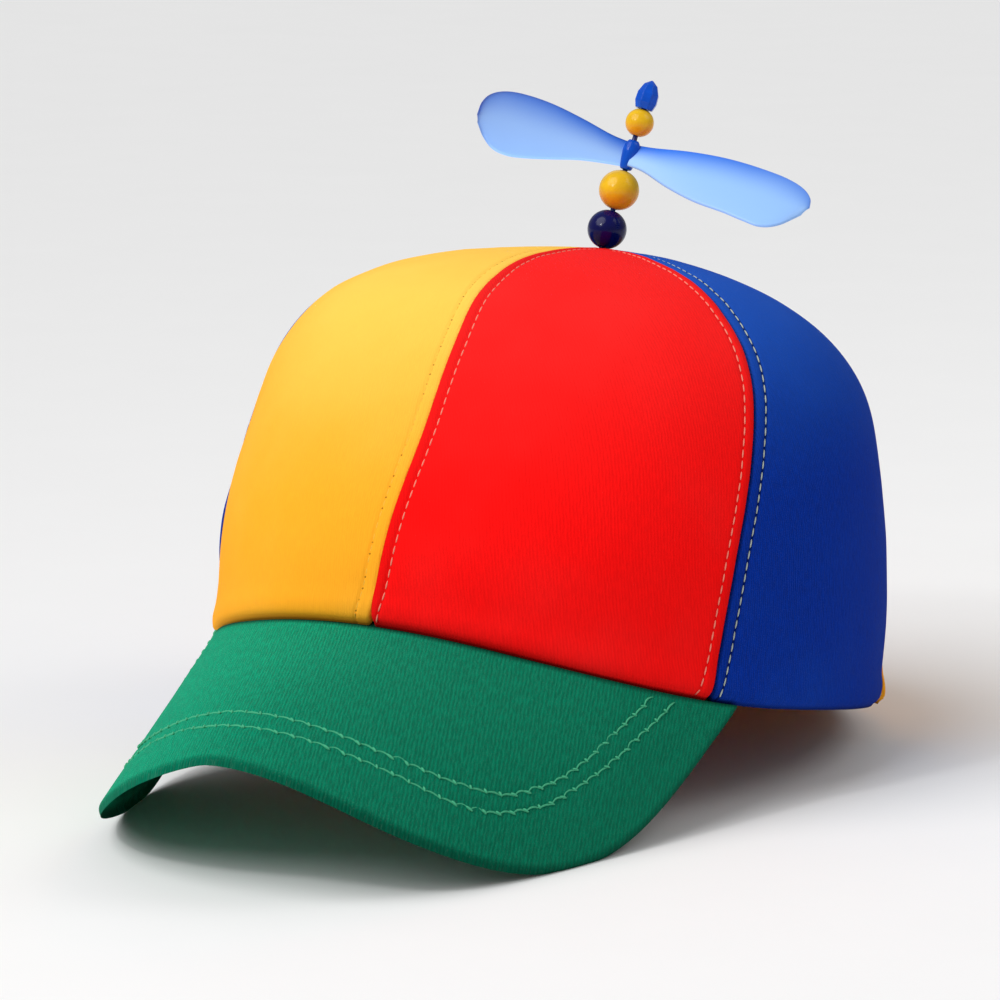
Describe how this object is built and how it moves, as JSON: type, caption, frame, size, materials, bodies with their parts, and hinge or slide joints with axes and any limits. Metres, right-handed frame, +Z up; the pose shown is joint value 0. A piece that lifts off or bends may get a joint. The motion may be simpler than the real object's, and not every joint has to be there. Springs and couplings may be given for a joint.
{
  "type": "propeller beanie",
  "caption": "Soft panelled cap with a curved peak and a small free-spinning propeller on a beaded post at its top.",
  "frame": {"origin": "middle of the footprint, on the surface the cap rests on: the peak's two corners and the back of the rim touch it", "axes": "+Z up, the peak and the front of the cap point to -Y, the wearer's left is +X"},
  "size_m": [0.1768, 0.2694, 0.1771],
  "materials": {
    "red_twill": "cotton twill",
    "blue_twill": "cotton twill",
    "yellow_twill": "cotton twill",
    "green_twill": "cotton twill",
    "post_wire": "dark blue enamel",
    "navy_gloss": "polished",
    "amber_gloss": "pearly, polished",
    "sky_plastic": "translucent moulded plastic",
    "cobalt_gloss": "faceted, polished"
  },
  "bodies": {
    "cap": {"panel_front_left": "red_twill", "panel_side_left": "blue_twill", "panel_back_left": "yellow_twill", "panel_back_right": "red_twill", "panel_side_right": "blue_twill", "panel_front_right": "yellow_twill", "peak": "green_twill", "post": "post_wire", "bead_navy": "navy_gloss", "bead_yellow_large": "amber_gloss", "bead_yellow_small": "amber_gloss", "finial": "cobalt_gloss"},
    "propeller": {"propeller": "sky_plastic"}
  },
  "joints": [
    {"name": "propeller_spin", "type": "hinge", "parent": "cap", "child": "propeller", "pos_m": [0.00372, 0.07641, 0.15716], "axis": [0.1725, 0.3056, 0.9364], "continuous": true}
  ]
}
